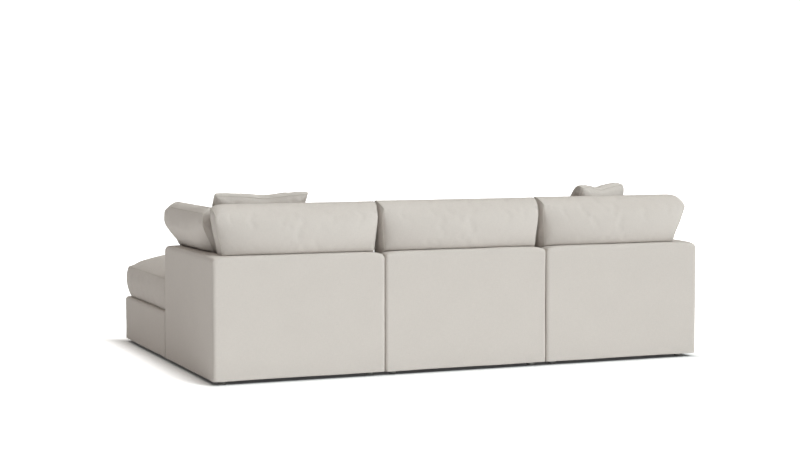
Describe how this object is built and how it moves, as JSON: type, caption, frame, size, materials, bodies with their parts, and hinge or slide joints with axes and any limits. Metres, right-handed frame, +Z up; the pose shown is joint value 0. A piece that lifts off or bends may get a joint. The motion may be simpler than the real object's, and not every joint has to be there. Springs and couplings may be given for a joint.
{
  "type": "sectional sofa with chaise",
  "caption": "Modular sectional sofa with walled corner seats, an armless seat and a loose ottoman as the chaise, with loose seat, back and side cushions and throw pillows.",
  "frame": {"origin": "on the floor, under the middle of the whole sofa", "axes": "+Z up, +X to the sitter's left along the back, -Y the way the seats face"},
  "size_m": [2.7322, 1.828, 0.9353],
  "materials": {
    "fabric": "matte",
    "lining": "matte",
    "wood": "matte",
    "webbing": "matte",
    "padding": "matte",
    "plastic": "matte",
    "steel": "satin"
  },
  "bodies": {
    "middle": {"middle_cover": "fabric", "middle_base_frame": "wood", "middle_webbing": "webbing", "middle_deck_pad": "padding", "middle_dust_cover": "lining", "middle_back_frame": "wood", "middle_glide_1": "plastic", "middle_glide_2": "plastic", "middle_glide_3": "plastic", "middle_glide_4": "plastic", "middle_left_rear_socket": "steel", "middle_right_rear_socket": "steel", "middle_left_front_socket": "steel", "middle_right_front_socket": "steel"},
    "left_corner": {"left_corner_cover": "fabric", "left_corner_base_frame": "wood", "left_corner_webbing": "webbing", "left_corner_deck_pad": "padding", "left_corner_dust_cover": "lining", "left_corner_back_frame": "wood", "left_corner_side_frame": "wood", "left_corner_glide_1": "plastic", "left_corner_glide_2": "plastic", "left_corner_glide_3": "plastic", "left_corner_glide_4": "plastic", "left_corner_rear_tongue": "steel", "left_corner_front_tongue": "steel"},
    "right_corner": {"right_corner_cover": "fabric", "right_corner_base_frame": "wood", "right_corner_webbing": "webbing", "right_corner_deck_pad": "padding", "right_corner_dust_cover": "lining", "right_corner_back_frame": "wood", "right_corner_side_frame": "wood", "right_corner_glide_1": "plastic", "right_corner_glide_2": "plastic", "right_corner_glide_3": "plastic", "right_corner_glide_4": "plastic", "right_corner_rear_tongue": "steel", "right_corner_front_tongue": "steel"},
    "ottoman": {"ottoman_cover": "fabric", "ottoman_base_frame": "wood", "ottoman_webbing": "webbing", "ottoman_deck_pad": "padding", "ottoman_dust_cover": "lining", "ottoman_glide_1": "plastic", "ottoman_glide_2": "plastic", "ottoman_glide_3": "plastic", "ottoman_glide_4": "plastic"},
    "middle_seat": {"middle_seat_cushion": "fabric"},
    "middle_back": {"middle_back_cushion": "fabric"},
    "ottoman_top": {"ottoman_cushion": "fabric"},
    "left_corner_seat": {"left_corner_seat_cushion": "fabric"},
    "left_corner_back": {"left_corner_back_cushion": "fabric"},
    "left_corner_side": {"left_corner_side_cushion": "fabric"},
    "left_corner_pillow": {"left_corner_throw_pillow": "fabric"},
    "right_corner_seat": {"right_corner_seat_cushion": "fabric"},
    "right_corner_back": {"right_corner_back_cushion": "fabric"},
    "right_corner_side": {"right_corner_side_cushion": "fabric"},
    "right_corner_pillow": {"right_corner_throw_pillow": "fabric"}
  },
  "joints": [
    {"name": "left_corner_pull", "type": "slide", "parent": "middle", "child": "left_corner", "axis": [1, 0, 0], "range_m": [0, 0.3]},
    {"name": "right_corner_pull", "type": "slide", "parent": "middle", "child": "right_corner", "axis": [-1, 0, 0], "range_m": [0, 0.3]},
    {"name": "ottoman_pull", "type": "slide", "parent": "middle", "child": "ottoman", "axis": [0, -1, 0], "range_m": [0, 0.4]},
    {"name": "middle_seat_lift", "type": "slide", "parent": "middle", "child": "middle_seat", "axis": [0, 0, 1], "range_m": [0, 0.25]},
    {"name": "middle_back_lift", "type": "slide", "parent": "middle_seat", "child": "middle_back", "axis": [0, 0, 1], "range_m": [0, 0.25]},
    {"name": "ottoman_top_lift", "type": "slide", "parent": "ottoman", "child": "ottoman_top", "axis": [0, 0, 1], "range_m": [0, 0.25]},
    {"name": "left_corner_seat_lift", "type": "slide", "parent": "left_corner", "child": "left_corner_seat", "axis": [0, 0, 1], "range_m": [0, 0.25]},
    {"name": "left_corner_back_lift", "type": "slide", "parent": "left_corner_seat", "child": "left_corner_back", "axis": [0, 0, 1], "range_m": [0, 0.25]},
    {"name": "left_corner_side_lift", "type": "slide", "parent": "left_corner_seat", "child": "left_corner_side", "axis": [0, 0, 1], "range_m": [0, 0.25]},
    {"name": "left_corner_pillow_lift", "type": "slide", "parent": "left_corner_back", "child": "left_corner_pillow", "axis": [0, 0, 1], "range_m": [0, 0.25]},
    {"name": "right_corner_seat_lift", "type": "slide", "parent": "right_corner", "child": "right_corner_seat", "axis": [0, 0, 1], "range_m": [0, 0.25]},
    {"name": "right_corner_back_lift", "type": "slide", "parent": "right_corner_seat", "child": "right_corner_back", "axis": [0, 0, 1], "range_m": [0, 0.25]},
    {"name": "right_corner_side_lift", "type": "slide", "parent": "right_corner_seat", "child": "right_corner_side", "axis": [0, 0, 1], "range_m": [0, 0.25]},
    {"name": "right_corner_pillow_lift", "type": "slide", "parent": "right_corner_back", "child": "right_corner_pillow", "axis": [0, 0, 1], "range_m": [0, 0.25]}
  ]
}
